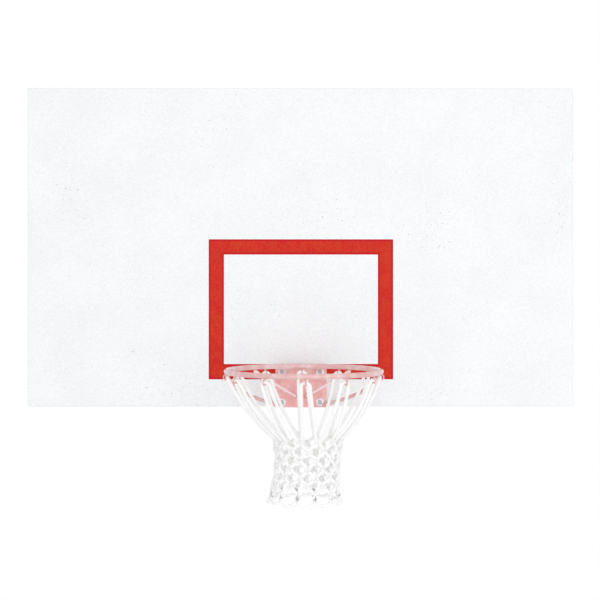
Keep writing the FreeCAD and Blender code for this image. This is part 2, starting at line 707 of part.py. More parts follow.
def make_net_mesh():
    """The knotted part of the net: one wall round the ring's axis, with rows of openings.

    Rows of knots stand half a step round from each other. The top edge rises to the strands of the
    upper loops, and the bottom edge hangs in loops.
    """
    body = new_body("NetMesh")
    body.BaseFeature = make_net_wall()
    doc.recompute()

    half_across = "(net_waist_radius * sin(180 / hook_count) - knot_size / 2)"
    half_up = "(row_pitch - knot_size / 2)"
    below = lambda rows: f"(-net_top_drop - {rows} * row_pitch)"
    hem = "(-net_bottom_drop + cord_diameter)"
    in_line = new_sketch(body, "XZ_Plane")
    outline(in_line, [
        ("-hole_corner", f"{below(1)} + knot_size / 2"), ("hole_corner", f"{below(1)} + knot_size / 2"),
        (f"{half_across} + hole_corner", f"{below(0)} + cord_diameter"),
        (f"-({half_across} + hole_corner)", f"{below(0)} + cord_diameter"),
    ])
    mesh_opening(in_line, below(2), half_across, half_up)
    mesh_opening(in_line, below(4), half_across, half_up)
    last_middle = f"(({below(5)} - knot_size / 2 + {hem}) / 2)"
    last_half = f"(({below(5)} - knot_size / 2 - {hem}) / 2)"
    mesh_opening(in_line, last_middle, f"({half_across} + hole_corner)", last_half)

    between = new_sketch(body, "XZ_Plane", turn="180 / hook_count")
    for rows in (1, 3, 5):
        mesh_opening(between, below(rows), half_across, half_up)
    outline(between, [
        ("-hole_corner", f"{below(6)} - knot_size / 2"), ("hole_corner", f"{below(6)} - knot_size / 2"),
        (f"{half_across} + hole_corner", "-net_bottom_drop - cord_diameter"),
        (f"-({half_across} + hole_corner)", "-net_bottom_drop - cord_diameter"),
    ])
    cuts = [pocket(body, sketch, "2 * net_waist_radius") for sketch in (in_line, between)]
    rows = body.newObject("PartDesign::PolarPattern", "Rows")
    rows.Originals = cuts
    rows.Axis = (next(f for f in body.Origin.OriginFeatures if f.Role == "Z_Axis"), [""])
    bind(rows, "Occurrences", "hook_count")
    body.Tip = rows
    bind(body, "Placement.Base.y", RING_DEPTH)
    bind(body, "Placement.Base.z", RING_LEVEL)
    return keep(body, "net_mesh")


def write_pieces():
    """Check every object and every piece, then write one file for each piece."""
    doc.recompute()
    for item in doc.Objects:
        if "Invalid" in item.State or "Error" in item.State:
            raise ValueError(f"{item.Name} failed: {item.State}")
    for piece in pieces:
        if piece.Shape.isNull() or not piece.Shape.isValid() or not piece.Shape.Solids:
            raise ValueError(f"{piece.Label} has no valid solid")
    for piece in pieces:
        piece.Shape.exportStep(f"parts/{piece.Label}.step")


make_face_panel()
make_target()
make_rail("left_mount_rail", -1)
make_rail("right_mount_rail", 1)
make_stiffeners()
make_backing_plate()
make_goal_bracket()
make_ring()
plate_trim = make_plate_trim()
make_rod_brace("brace_left", -1, plate_trim)
make_rod_brace("brace_right", 1, plate_trim)
make_strut("strut_left", -1, plate_trim)
make_strut("strut_right", 1, plate_trim)
make_net_hooks()
make_fasteners()
make_net_loops()
make_net_mesh()
write_pieces()
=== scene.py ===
"""Basketball backboard: paint, rods, welds, fasteners and a knotted cord net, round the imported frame."""
import json
import math

import bmesh
import bpy
import numpy as np
from bpy.props import FloatProperty, FloatVectorProperty, IntProperty, PointerProperty
from bpy.types import Operator, Panel, PropertyGroup
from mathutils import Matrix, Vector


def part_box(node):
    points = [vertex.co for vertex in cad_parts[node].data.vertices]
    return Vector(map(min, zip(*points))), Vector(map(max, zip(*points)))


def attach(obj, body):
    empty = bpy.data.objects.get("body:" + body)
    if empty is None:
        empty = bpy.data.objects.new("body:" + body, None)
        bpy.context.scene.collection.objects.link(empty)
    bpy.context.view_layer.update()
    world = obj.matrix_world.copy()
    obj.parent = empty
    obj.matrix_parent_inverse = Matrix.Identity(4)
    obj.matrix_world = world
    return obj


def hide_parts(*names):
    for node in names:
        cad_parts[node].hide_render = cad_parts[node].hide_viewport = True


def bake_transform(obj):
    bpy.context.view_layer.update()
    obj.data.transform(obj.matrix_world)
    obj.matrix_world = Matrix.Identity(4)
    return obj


bl_info = {
    "name": "Backboard dressing",
    "version": (1, 0, 0),
    "blender": (4, 5, 0),
    "location": "View3D > Sidebar > Backboard",
    "description": "Dresses the packed backboard with paint, rods, welds, fasteners and a cord net",
    "category": "Object",
}

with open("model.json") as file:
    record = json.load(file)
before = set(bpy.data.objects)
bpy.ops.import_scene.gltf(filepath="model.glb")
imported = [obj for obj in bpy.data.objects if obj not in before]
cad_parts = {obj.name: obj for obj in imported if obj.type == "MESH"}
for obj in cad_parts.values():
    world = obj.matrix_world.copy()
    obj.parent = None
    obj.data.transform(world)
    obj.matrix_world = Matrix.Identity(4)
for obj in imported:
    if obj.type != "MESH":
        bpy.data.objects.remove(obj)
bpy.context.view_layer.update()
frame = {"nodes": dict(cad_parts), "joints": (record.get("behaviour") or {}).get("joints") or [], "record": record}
TURN = 2 * math.pi
REARWARD = np.array([0, 1.0, 0])
UPWARD = np.array([0, 0, 1.0])
UV_NAME = "along"

# Gauges of the rails, the stiffeners and the bolts, in metres
RAIL_WEB = 0.0048
BRACE_WEB = 0.0032
BOLT_FLATS = 0.0143
BOLT_SHANK = 0.0095
BOLT_POINT = 0.0014
THREAD_DEPTH = 0.0009

# Steps round the ring, and sides of the round sections
RING_STEPS = 160
RING_SIDES = 20
ROD_SIDES = 18
WIRE_SIDES = 12
BEAD_SIDES = 8
CORD_SIDES = 16
STRAND_SIDES = 8
KNOT_SIDES = 7

# How far the middle of a weld bead stands off, over its radius
BEAD_STAND = 0.4

# The cord's braid: its lay, its yarns each way round, and how deep it dips between them, over the radius
BRAID_LAY = 0.011
BRAID_YARNS = 4
BRAID_DEPTH = 0.10

# How unevenly the net hangs: the spread of its knots round, down and out, and of the hem's lowest points
KNOT_SPREAD_ROUND = math.radians(1.3)
KNOT_SPREAD_DOWN = 0.0022
KNOT_SPREAD_OUT = 0.0018
HEM_SPREAD = 0.0035

# How far a strand and a loop of the hem bow out, and the radius of a knot's tight cord over a cord's width
STRAND_BOW = 0.0012
HEM_BOW = 0.0015
KNOT_CORD = 0.42

# The soft fill from all round, and the floor's radius, its way forward and where it fades to white
FILL = 0.81
FLOOR_RADIUS = 6.0
FLOOR_FORWARD = 0.3
FLOOR_FADE = (2.4, 5.8)


def node_box(node):
    """The node's lowest and highest corners at rest, as two arrays in metres."""
    low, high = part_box(node)
    return np.array(low), np.array(high)


PAN_LOW, _ = node_box("face_panel")
_, PLATE_HIGH = node_box("goal_bracket")
RING_LOW, RING_HIGH = node_box("ring")
RING_CENTRE = (RING_LOW + RING_HIGH) / 2
RING_ROD = RING_HIGH[2] - RING_LOW[2]
RING_RADIUS = (RING_HIGH[0] - RING_LOW[0] - RING_ROD) / 2
FACE = PAN_LOW[1]
BOTTOM = PAN_LOW[2]


# Sizes and colours a user would change


def length(name, description, default):
    """A size in metres."""
    return FloatProperty(name=name, description=description, default=default, unit="LENGTH", precision=4)


def degrees(name, description, default):
    """An angle, with its default in degrees."""
    return FloatProperty(name=name, description=description, default=math.radians(default), subtype="ANGLE")


def colour(name, description, default):
    """A linear colour."""
    return FloatVectorProperty(name=name, description=description, default=default, size=3, subtype="COLOR",
                               min=0.0, max=1.0)


class BackboardPaint(PropertyGroup):
    """Colours of the painted steel, the plated fasteners and the cord, and the painted stripe's width."""
    board: colour("Board", "White powder coat of the pan and its frame", (0.848, 0.865, 0.879))
    target: colour("Target", "Red enamel of the shooter's square", (0.595, 0.026, 0.011))
    goal: colour("Goal", "Sun-faded red powder coat of the ring and its bracket", (0.88, 0.345, 0.337))
    chalk: colour("Chalk", "Chalked film where the goal's coat has weathered", (0.95, 0.80, 0.79))
    stripe: length("Stripe", "Width of the target's stripe", 0.051)
    zinc: colour("Zinc", "Dull zinc plate of the bolts, nuts and washers", (0.60, 0.61, 0.63))
    cord: colour("Cord", "White braided cord of the net", (0.98, 0.98, 0.975))


class BackboardGoal(PropertyGroup):
    """Sizes of the rods, hooks and welds of the goal."""
    brace_rod: length("Brace rod", "Diameter of the two bent braces", 0.0127)
    brace_angle: degrees("Brace angle", "How far behind the ring's side a brace begins", 7.3)
    brace_end_gap: length("Brace end gap", "Between a brace's end and the washer beside it", 0.0007)
    brace_end_rise: length("Brace end rise", "Brace's end on the plate, over the board's lower edge", 0.008)
    strut_rod: length("Strut rod", "Diameter of the two short struts", 0.0095)
    strut_angle: degrees("Strut angle", "Where a strut begins, round from the ring's rear", 40)
    strut_end_across: length("Strut end across", "Strut's end on the plate, from the centre", 0.020)
    strut_end_rise: length("Strut end rise", "Strut's end on the plate, over the board's lower edge", 0.036)
    weld_gap: length("Weld gap", "Clearance between rods that lie on each other", 0.0001)
    bead: length("Weld bead", "Half the width of a weld bead", 0.0032)
    hook_wire: length("Hook wire", "Diameter of the hooks' wire", 0.0044)
    hook_eye: length("Hook eye", "Inside diameter of a hook's eye", 0.0125)
    bolts_across: length("Bolts across", "Spacing of the goal's bolts across the board", 0.127)
    bolts_up: length("Bolts up", "Spacing of the goal's bolts up the board", 0.1016)
    thread_pitch: length("Thread pitch", "Pitch of the bolts' coarse thread", 0.00159)


class BackboardNet(PropertyGroup):
    """Sizes of the net."""
    loops: IntProperty(name="Loops", description="Loops round the ring, one to a hook", default=12)
    rows: IntProperty(name="Knot rows", description="Rows of knots under the long loops", default=7)
    cord: length("Cord", "Diameter of the braided cord", 0.0105)
    knot: length("Knot", "Half the width of a knot at its cord's centre line", 0.0070)
    bend: length("Loop bend", "Radius of a loop's turn over its hook", 0.013)
    slack: length("Slack", "How far a loop's turn hangs under the middle of the hook's eye", 0.0005)
    top_drop: length("Top drop", "First row of knots, under the ring", 0.206)
    bottom_drop: length("Bottom drop", "Lowest point of the net, under the ring", 0.404)
    row_pitch: length("Row pitch", "From one row of knots to the next", 0.027)
    waist_drop: length("Waist drop", "Narrowest place of the net, under the ring", 0.287)
    waist: length("Waist", "Radius of the net at its narrowest place", 0.095)
    flare: length("Flare", "Radius of the net's curve above and below the waist", 0.410)
    sag: length("Sag", "How far the long loops hang below a straight line", 0.013)
    lean: length("Lean", "How far the first knots hang to the right, less at each row below", 0.014)


class BackboardStage(PropertyGroup):
    """Camera, light and floor."""
    distance: length("Camera distance", "From the camera to the board's face", 4.40)
    aside: length("Camera aside", "Camera's place to the left of the board's centre", 0.095)
    below: length("Camera below", "Camera's place below the board's centre", 0.113)
    turn: FloatProperty(name="Camera turn", description="How far the camera turns to its right",
                        default=0.0077, subtype="ANGLE")
    lens: FloatProperty(name="Lens", description="Focal length on a 36 mm sensor",
                        default=78.8, unit="CAMERA")
    shift_across: FloatProperty(name="Shift across", description="Sideways shift of the frame",
                                default=0.0288)
    shift_up: FloatProperty(name="Shift up", description="Upward shift of the frame", default=-0.0317)
    floor_drop: length("Floor drop", "Floor under the top of a ring at its regulation height", 3.048)


# Finishes


def arithmetic(operation):
    """An operator of a shader value and its reflected form, which add one Math node."""
    def plain(value, other):
        return value.math(operation, value, other)

    def reflected(value, other):
        return value.math(operation, other, value)

    return plain, reflected


class Sock:
    """A shader value: arithmetic on it adds Math nodes."""

    def __init__(self, nodes, socket):
        self.nodes, self.socket = nodes, socket

    def math(self, operation, *values):
        """A Math node on these values."""
        return self.nodes.node("ShaderNodeMath", {"operation": operation}, dict(enumerate(values)))

    __add__, __radd__ = arithmetic("ADD")
    __sub__, __rsub__ = arithmetic("SUBTRACT")
    __mul__, __rmul__ = arithmetic("MULTIPLY")
    __truediv__, __rtruediv__ = arithmetic("DIVIDE")
    __pow__, __rpow__ = arithmetic("POWER")

    def __abs__(self):
        return self.math("ABSOLUTE", self)

    def wave(self):
        """Sine of the value in radians."""
        return self.math("SINE", self)

    def whole(self):
        """The whole number below the value."""
        return self.math("FLOOR", self)

    def rest(self):
        """What the value has over the whole number below it."""
        return self.math("FRACT", self)

    def most(self, other):
        """The larger of the two values."""
        return self.math("MAXIMUM", self, other)

    def least(self, other):
        """The smaller of the two values."""
        return self.math("MINIMUM", self, other)

    def step(self, low, high):
        """Smooth step: 0 at low, 1 at high, eased between."""
        return self.nodes.node("ShaderNodeMapRange", {"interpolation_type": "SMOOTHSTEP", "clamp": True},
                               {"Value": self, "From Min": low, "From Max": high})


class Nodes:
    """A node tree that is filled from expressions."""

    def __init__(self, tree):
        self.tree = tree

    def node(self, kind, settings=None, sockets=None, output=0):
        """Any node: its type, its settings, then the values or links of its sockets."""
        made = self.tree.nodes.new(kind)
        for key, value in (settings or {}).items():
            setattr(made, key, value)
        for key, value in (sockets or {}).items():
            self.put(made.inputs[key], value)
        return Sock(self, made.outputs[output])

    def put(self, socket, value):
        """Give a socket a link, a number or a colour."""
        if isinstance(value, Sock):
            self.tree.links.new(value.socket, socket)
        elif isinstance(value, (tuple, list)) and len(value) == 3 and socket.type == "RGBA":
            socket.default_value = (*value, 1.0)
        else:
            socket.default_value = value

    def mix(self, a, b, factor):
        """From colour a to colour b."""
        return self.node("ShaderNodeMix", {"data_type": "RGBA"}, {"Factor": factor, 6: a, 7: b}, 2)


class Finish(Nodes):
    """A procedural material on one Principled shader, which holds the values that are the same all over.

    Its place is the object's own coordinates, in metres."""

    def __init__(self, name, **uniform):
        self.material = bpy.data.materials.new(name)
        self.material.use_nodes = True
        super().__init__(self.material.node_tree)
        self.shader = self.tree.nodes["Principled BSDF"]
        for socket, value in uniform.items():
            self.shader.inputs[socket.replace("_", " ")].default_value = value
        self.place = self.node("ShaderNodeTexCoord", None, None, "Object")

    def noise(self, scale, detail, roughness):
        """Noise of so many features to a metre, from 0 to 1."""
        return self.node("ShaderNodeTexNoise", None,
                         {"Vector": self.place, "Scale": scale, "Detail": detail, "Roughness": roughness})

    def axes(self, vector):
        """The three parts of a vector."""
        split = self.node("ShaderNodeSeparateXYZ", None, {"Vector": vector})
        return [Sock(self, out) for out in split.socket.node.outputs]

    def bump(self, height, depth, strength=1.0):
        """Relief of so many metres, into the shader's normal."""
        relief = {"Height": height, "Distance": depth, "Strength": strength}
        self.put(self.shader.inputs["Normal"], self.node("ShaderNodeBump", None, relief))

    def set(self, **sockets):
        """Feed what changes over the surface."""
        for socket, value in sockets.items():
            self.put(self.shader.inputs[socket.replace("_", " ")], value)
        return self.material


def shade(colour_value, factor):
    """A colour made darker or lighter by one number."""
    return tuple(min(1.0, c * factor) for c in colour_value)


def board_finish(name, paint):
    """White powder coat: orange peel, fine grain, and grey specks in clusters, two of them on the face."""
    white = tuple(paint.board)
    coat = Finish(name, IOR=1.5, Specular_IOR_Level=0.35)
    across, _, up = coat.axes(coat.place)
    clouds = coat.noise(6.0, detail=4.0, roughness=0.6)
    grain = coat.noise(190.0, detail=3.0, roughness=0.7)
    cells = coat.node("ShaderNodeTexVoronoi", None, {"Vector": coat.place, "Scale": 40.0})
    dust = coat.node("ShaderNodeTexVoronoi", None, {"Vector": coat.place, "Scale": 75.0})
    cluster = coat.noise(3.5, detail=3.0, roughness=0.6).step(0.50, 0.70)
    for x, z, half_width, half_height in ((-0.37, -0.455, 0.17, 0.09), (0.05, 0.10, 0.20, 0.13)):
        cluster = cluster + (1 - ((across - x) / half_width) ** 2 - ((up - z) / half_height) ** 2).most(0.0)
    speck = (1 - cells.step(0.06, 0.13)) * (cluster * 0.8 + 0.15).least(1.0)
    fleck = (1 - dust.step(0.10, 0.20)) * cluster.least(1.0)
    film = coat.mix(shade(white, 0.94), shade(white, 1.05), (clouds * 0.25 + grain * 0.75).step(0.34, 0.66))
    film = coat.mix(film, shade(white, 0.50), (speck * 0.85).most(fleck * 0.45))
    peel = coat.noise(210.0, detail=1.5, roughness=0.4)
    coat.bump(peel, 0.00035, 0.5)
    return coat.set(Base_Color=film, Roughness=0.40 + grain * 0.12)


def target_finish(name, paint):
    """Red enamel laid between two strips of tape: mottled orange, with a deeper bead of paint at both edges.

    The outer edge's distance is the lesser of half the width - |across| and half the height - |up|."""
    red = tuple(paint.target)
    coat = Finish(name, IOR=1.5, Specular_IOR_Level=0.12)
    across, _, up = coat.axes(coat.place)
    low, high = node_box("target_border")
    middle, half = (low + high) / 2, (high - low) / 2
    outer = (half[0] - abs(across - middle[0])).least(half[2] - abs(up - middle[2]))
    edge = outer.least(paint.stripe - outer)
    clouds = coat.noise(22.0, detail=4.0, roughness=0.6)
    grain = coat.noise(150.0, detail=2.0, roughness=0.6)
    deep = (red[0] * 0.97, red[1] * 0.45, red[2])
    orange = (red[0] * 1.03, red[1] * 1.65, red[2] * 1.2)
    beaded = (red[0] * 0.90, red[1] * 0.25, red[2] * 1.2)
    film = coat.mix(deep, orange, (clouds * 0.35 + grain * 0.65).step(0.36, 0.64))
    film = coat.mix(film, beaded, 1 - edge.step(0.0045, 0.0085))
    coat.bump(grain, 0.0002, 0.4)
    return coat.set(Base_Color=film, Roughness=0.40 + clouds * 0.15)


def goal_finish(name, paint, chalk_and_highlight=0.16, tone=1.0, dull=0.28, polish=0.0, shelf=None):
    """Faded red powder coat: chalk in patches, a deeper red between them, and a fine peel.

    A shelf, given by its level, lies open to the sky and is bleached nearly white on top."""
    red, chalk = shade(paint.goal, tone), shade(paint.chalk, tone)
    coat = Finish(name, IOR=1.5, Specular_IOR_Level=0.5,
                  Coat_Weight=polish, Coat_Roughness=0.10, Coat_IOR=1.7)
    patches = coat.noise(26.0, detail=4.0, roughness=0.62)
    grain = coat.noise(240.0, detail=2.0, roughness=0.6)
    # The chalk share pales the coat towards the chalk colour: real chalking on the ring and bracket, and a painted
    # highlight on the struts
    weathered = ((patches * 0.75 + grain * 0.25).step(0.40, 0.68) * 0.55 + chalk_and_highlight).least(1.0)
    if shelf is not None:
        on_top = coat.axes(coat.place)[2].step(shelf - 0.0015, shelf - 0.0003)
        weathered = weathered.most(on_top * (0.75 + grain * 0.25))
    film = coat.mix(shade(red, 0.94), chalk, weathered)
    coat.bump(coat.noise(320.0, detail=1.5, roughness=0.4), 0.00025, 0.5)
    return coat.set(Base_Color=film, Roughness=dull + grain * 0.15)


def bracket_finish(name, paint):
    """The goal's coat on its bracket, with the least chalk of the goal's parts, and a bleached shelf."""
    return goal_finish(name, paint, shelf=PLATE_HIGH[2])


def rod_finish(name, paint):
    """The goal's coat on its rods, with more chalk than the plate, and polished by balls and hands."""
    return goal_finish(name, paint, chalk_and_highlight=0.26, tone=0.84, dull=0.14, polish=0.6)


def strut_finish(name, paint):
    """The goal's coat on the struts, paled nearly white towards the chalk colour as a painted highlight."""
    return goal_finish(name, paint, chalk_and_highlight=0.80, tone=1.05)


def zinc_finish(name, paint, tone=0.80):
    """Zinc plate: grey bloom in patches and a fine tumbled grain."""
    zinc = shade(paint.zinc, tone)
    plate = Finish(name, Metallic=0.85)
    bloom = plate.noise(190.0, detail=4.0, roughness=0.65)
    grain = plate.noise(900.0, detail=2.0, roughness=0.6)
    film = plate.mix(shade(zinc, 0.82), shade(zinc, 1.15), bloom.step(0.32, 0.68))
    plate.bump(grain, 0.00012, 0.5)
    return plate.set(Base_Color=film, Roughness=0.36 + bloom * 0.25)


def washer_zinc_and_reflection_finish(name, paint):
    """The washers' zinc, which is flat: a lighter copy of the tumbled zinc of the bolts and nuts, partly brighter
    plate and partly a painted reflection.
    """
    return zinc_finish(name, paint, tone=1.45)


def cord_finish(name, paint):
    """Braided cord: yarns in the diamonds of braid_height, greyer in the grooves as painted shade, with a fuzz."""
    white = tuple(paint.cord)
    braid = Finish(name, IOR=1.45, Specular_IOR_Level=0.2, Sheen_Weight=0.6, Subsurface_Weight=0.7,
                   Subsurface_Scale=0.003, Subsurface_Radius=(1.0, 1.0, 1.0))
    along, turn, _ = braid.axes(braid.node("ShaderNodeUVMap", {"uv_map": UV_NAME}))
    left, right = along / BRAID_LAY + turn * BRAID_YARNS, along / BRAID_LAY - turn * BRAID_YARNS
    one, other = abs((left * math.pi).wave()), abs((right * math.pi).wave())
    under = ((left.whole() + right.whole()) * 0.5).rest() * 2.0
    yarn = (one ** 0.8 * other ** 0.35) * (1 - under) + (other ** 0.8 * one ** 0.35) * under
    fuzz = braid.noise(700.0, detail=3.0, roughness=0.7)
    grey = braid.noise(30.0, detail=3.0, roughness=0.6)
    # Painted shade: the base colour is greyer in the grooves between the yarns, where shade falls, and whiter on
    # their crowns
    film = braid.mix(shade(white, 0.93), white, (yarn * 0.8 + fuzz * 0.3).step(0.05, 0.55))
    film = braid.mix(film, shade(white, 0.94), grey.step(0.45, 0.75) * 0.5)
    braid.bump(yarn + fuzz * 0.25, 0.0005, 0.6)
    return braid.set(Base_Color=film, Roughness=0.80 + fuzz * 0.15)


# Each finish with the record's slot that it belongs to
FINISHES = {
    "white_powder_coat": ("board_paint", board_finish),
    "red_enamel": ("target_paint", target_finish),
    "faded_powder_coat": ("goal_paint", bracket_finish),
    "chalked_powder_coat": ("goal_paint", rod_finish),
    "bleached_powder_coat": ("goal_paint", strut_finish),
    "dull_zinc": ("zinc", zinc_finish),
    "bright_zinc": ("zinc", washer_zinc_and_reflection_finish),
    "braided_cord": ("cord", cord_finish),
}


def finish_of(name):
    """The finish of that name, made once, and its slot."""
    slot, make = FINISHES[name]
    return bpy.data.materials.get(name) or make(name, bpy.context.scene.backboard_paint), slot


def dress(finish, *nodes):
    """Give CAD nodes a finish."""
    material, _ = finish_of(finish)
    for node in nodes:
        materials = frame["nodes"][node].data.materials
        materials.clear()
        materials.append(material)


# Surfaces


def unit(vectors):
    """Vectors at length 1."""
    return vectors / np.linalg.norm(vectors, axis=-1, keepdims=True)


def smooth(t):
    """3 t^2 - 2 t^3, which eases at both ends."""
    return t * t * (3 - 2 * t)


def stack(*parts):
    """Points from arrays of x, y and z."""
    return np.stack(np.broadcast_arrays(*parts), axis=-1)


def circle(count):
    """Angles round a full turn, evenly spaced."""
    return np.arange(count) / count * TURN


def lengths(paths):
    """Length along each path at its points: the steps between them, added up."""
    steps = np.linalg.norm(np.diff(paths, axis=1), axis=-1)
    return np.concatenate([np.zeros((len(paths), 1)), np.cumsum(steps, axis=1)], axis=1)


def braid_height(along, turn):
    """Height of a braid's yarns, from 0 in the grooves to 1.

    It is s^0.8 * r^0.35 in every other diamond and r^0.8 * s^0.35 in the rest, where s and r are
    |sin(pi * (along / lay + yarns * turn))| and |sin(pi * (along / lay - yarns * turn))|."""
    left, right = along / BRAID_LAY + BRAID_YARNS * turn, along / BRAID_LAY - BRAID_YARNS * turn
    one, other = np.abs(np.sin(np.pi * left)), np.abs(np.sin(np.pi * right))
    over = (np.floor(left) + np.floor(right)) % 2 == 0
    return np.where(over, one ** 0.8 * other ** 0.35, other ** 0.8 * one ** 0.35)


def tube(paths, radius, sides, hint, closed=False, bulge=0.5, cap_steps=3, depth=0.0):
    """A round section carried along paths: centre + radius * (cos a * side + sin a * up).

    side is the path's direction crossed with the hint, and up is square to both. An open end is capped by
    rows whose radius goes down as a cosine while they bulge out as a sine. Gives the points, and the
    length along at each row. A depth takes that share off the radius between the yarns of a braid."""
    if closed:
        heading = unit(np.roll(paths, -1, 1) - np.roll(paths, 1, 1))
    else:
        heading = unit(np.gradient(paths, axis=1))
    side = unit(np.cross(heading, np.broadcast_to(hint, paths.shape)))
    up = np.cross(side, heading)
    width = np.broadcast_to(radius, paths.shape[:2])
    along = lengths(paths)
    if closed:
        last = np.linalg.norm(paths[:, :1] - paths[:, -1:], axis=-1)
        along = np.concatenate([along, along[:, -1:] + last], axis=1)
    else:
        turn = np.linspace(0, np.pi / 2, cap_steps + 1)[1:]
        ends = []
        for end, sign, order in ((slice(0, 1), -1, slice(None, None, -1)), (slice(-1, None), 1, slice(None))):
            out = sign * bulge * np.sin(turn)[order, None] * width[:, end, None]
            ends.append((
                paths[:, end] + out * heading[:, end],
                width[:, end] * np.cos(turn)[order],
                along[:, end] + sign * width[:, end] * np.sin(turn)[order],
            ))
        (head, head_width, head_along), (tail, tail_width, tail_along) = ends
        paths = np.concatenate([head, paths, tail], axis=1)
        width = np.concatenate([head_width, width, tail_width], axis=1)
        along = np.concatenate([head_along, along, tail_along], axis=1)
        repeat = [cap_steps + 1] + [1] * (side.shape[1] - 2) + [cap_steps + 1]
        side, up = np.repeat(side, repeat, axis=1), np.repeat(up, repeat, axis=1)
    angle = circle(sides)
    round_it = np.cos(angle)[:, None] * side[:, :, None] + np.sin(angle)[:, None] * up[:, :, None]
    braided = 1 - depth * (1 - braid_height(along[:, :paths.shape[1], None], angle / TURN))
    return paths[:, :, None] + (width[:, :, None] * braided)[..., None] * round_it, along


def turned(centres, axial, radii, sides, direction):
    """A profile turned about an axis along Y: centre + (r cos a, direction * axial, r sin a).

    axial is an array over the rows, and radii is over the rows, or over rows and sides."""
    angle = circle(sides)
    radii = np.broadcast_to(radii if radii.ndim == 2 else radii[:, None], (len(axial), sides))
    local = stack(radii * np.cos(angle), direction * axial[:, None] + 0 * radii, radii * np.sin(angle))
    points = centres[:, None, None, :] + local
    along = np.broadcast_to(np.concatenate([axial, axial[:1]]), (len(centres), len(axial) + 1))
    return points, along


class Skin:
    """Grids of points gathered into one mesh, with a UV map of metres along and turns around."""

    def __init__(self):
        self.points, self.quads, self.places, self.count = [], [], [], 0

    def add(self, grid, along, closed=False):
        """Quads over grids of (copies, rows, columns) points, whose columns close on themselves."""
        copies, rows, columns, _ = grid.shape
        i, j = np.meshgrid(np.arange(rows if closed else rows - 1), np.arange(columns), indexing="ij")
        corner_i = np.stack([i, i + 1, i + 1, i], axis=-1).reshape(-1, 4)
        corner_j = np.stack([j, j, j + 1, j + 1], axis=-1).reshape(-1, 4)
        index = (corner_i % rows) * columns + corner_j % columns
        start = self.count + np.arange(copies) * rows * columns
        self.quads.append((start[:, None, None] + index).reshape(-1, 4))
        self.places.append(stack(along[:, corner_i], corner_j / columns).reshape(-1, 2))
        self.points.append(grid.reshape(-1, 3))
        self.count += copies * rows * columns
        return self

    def mesh(self, name, crease=35):
        """One mesh of all the grids: doubles merged, faces outwards, smooth up to the crease in degrees."""
        mesh = bpy.data.meshes.new(name)
        mesh.from_pydata(np.concatenate(self.points), [], np.concatenate(self.quads))
        uv = mesh.uv_layers.new(name=UV_NAME)
        uv.data.foreach_set("uv", np.concatenate(self.places).ravel())
        work = bmesh.new()
        work.from_mesh(mesh)
        bmesh.ops.remove_doubles(work, verts=work.verts, dist=1e-6)
        bmesh.ops.dissolve_degenerate(work, edges=work.edges, dist=1e-7)
        bmesh.ops.recalc_face_normals(work, faces=work.faces)
        work.to_mesh(mesh)
        work.free()
        mesh.polygons.foreach_set("use_smooth", np.ones(len(mesh.polygons), dtype=bool))
        mesh.set_sharp_from_angle(angle=math.radians(crease))
        return mesh

    def piece(self, name, finish, body, replaced=(), crease=35):
        """One object of all the grids, with its finish and its body, and the nodes that it replaces hidden."""
        material, slot = finish_of(finish)
        mesh = self.mesh(name, crease)
        mesh.materials.append(material)
        made = bpy.data.objects.new(name, mesh)
        bpy.context.scene.collection.objects.link(made)
        if body:
            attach(made, body)
        if replaced:
            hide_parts(*replaced)
        return made


def ripple(along, pitch, depth):
    """The scales of a weld bead: 1 - depth * the distance from the middle of each scale."""
    return 1 - depth * np.abs((along / pitch) % 1 - 0.5) * 2


def bead(skin, paths, radius, hint, closed=False):
    """A weld bead along paths: a round section whose radius ripples with each scale."""
    rippled = radius * ripple(lengths(paths), pitch=1.1 * radius, depth=0.22)
    skin.add(*tube(paths, rippled, BEAD_SIDES, hint, closed, bulge=0.8, cap_steps=2), closed)


# The goal's shapes


def ring_point(angle, radius, rise):
    """A place round the ring's axis: the angle runs from the rear, and the rise is from the rod's middle."""
    return RING_CENTRE + stack(radius * np.sin(angle), radius * np.cos(angle), rise + 0 * np.asarray(angle))


def plate_front():
    """Front of the bracket's upright leg, under the bolts' washers."""
    return node_box("front_washers")[1][1]


def brace_path(goal, side, count=49):
    """One arc in a sloping plane: from under the ring's side, straight back at first, then in to the plate.

    start + side * bend * (cos t - 1) * X + bend * sin t * slope, up to the plate's front."""
    drop = RING_ROD / 2 + goal.brace_rod / 2 + goal.weld_gap
    start = ring_point(side * (math.pi / 2 - goal.brace_angle), RING_RADIUS, -drop)
    beside = node_box("front_washers")[1][0] + goal.brace_rod / 2 + goal.brace_end_gap
    end = np.array([side * beside, plate_front(), BOTTOM + goal.brace_end_rise])
    slope = end - start
    inward = abs(slope[0])
    slope[0] = 0
    run = np.linalg.norm(slope)
    bend = (inward ** 2 + run ** 2) / (2 * inward)
    t = np.linspace(0, math.asin(run / bend), count)[:, None]
    return start + side * bend * (np.cos(t) - 1) * np.array([1.0, 0, 0]) + bend * np.sin(t) * slope / run


def strut_path(goal, side, count=9):
    """A straight rod from under the ring's rear to the plate."""
    drop = RING_ROD / 2 + goal.strut_rod / 2 + goal.weld_gap
    start = ring_point(side * goal.strut_angle, RING_RADIUS, -drop)
    end = np.array([side * goal.strut_end_across, plate_front(), BOTTOM + goal.strut_end_rise])
    return start + np.linspace(0, 1, count)[:, None] * (end - start)


def collar(path, radius, count=40):
    """The oval in which a rod meets the plate: its radius across, and that over the slant's sine along."""
    heading = unit(path[-1] - path[-2])
    lie = np.array([heading[0], 0, heading[2]])
    slant = abs(heading[1])
    lie /= np.linalg.norm(lie)
    square = np.array([-lie[2], 0, lie[0]])
    a = circle(count)[:, None]
    return path[-1] + radius * (np.cos(a) * lie / max(slant, 0.35) + np.sin(a) * square)


def hook_angles(net):
    """One hook at the front and the rest spaced evenly round the ring, measured from the rear."""
    return math.pi + circle(net.loops)


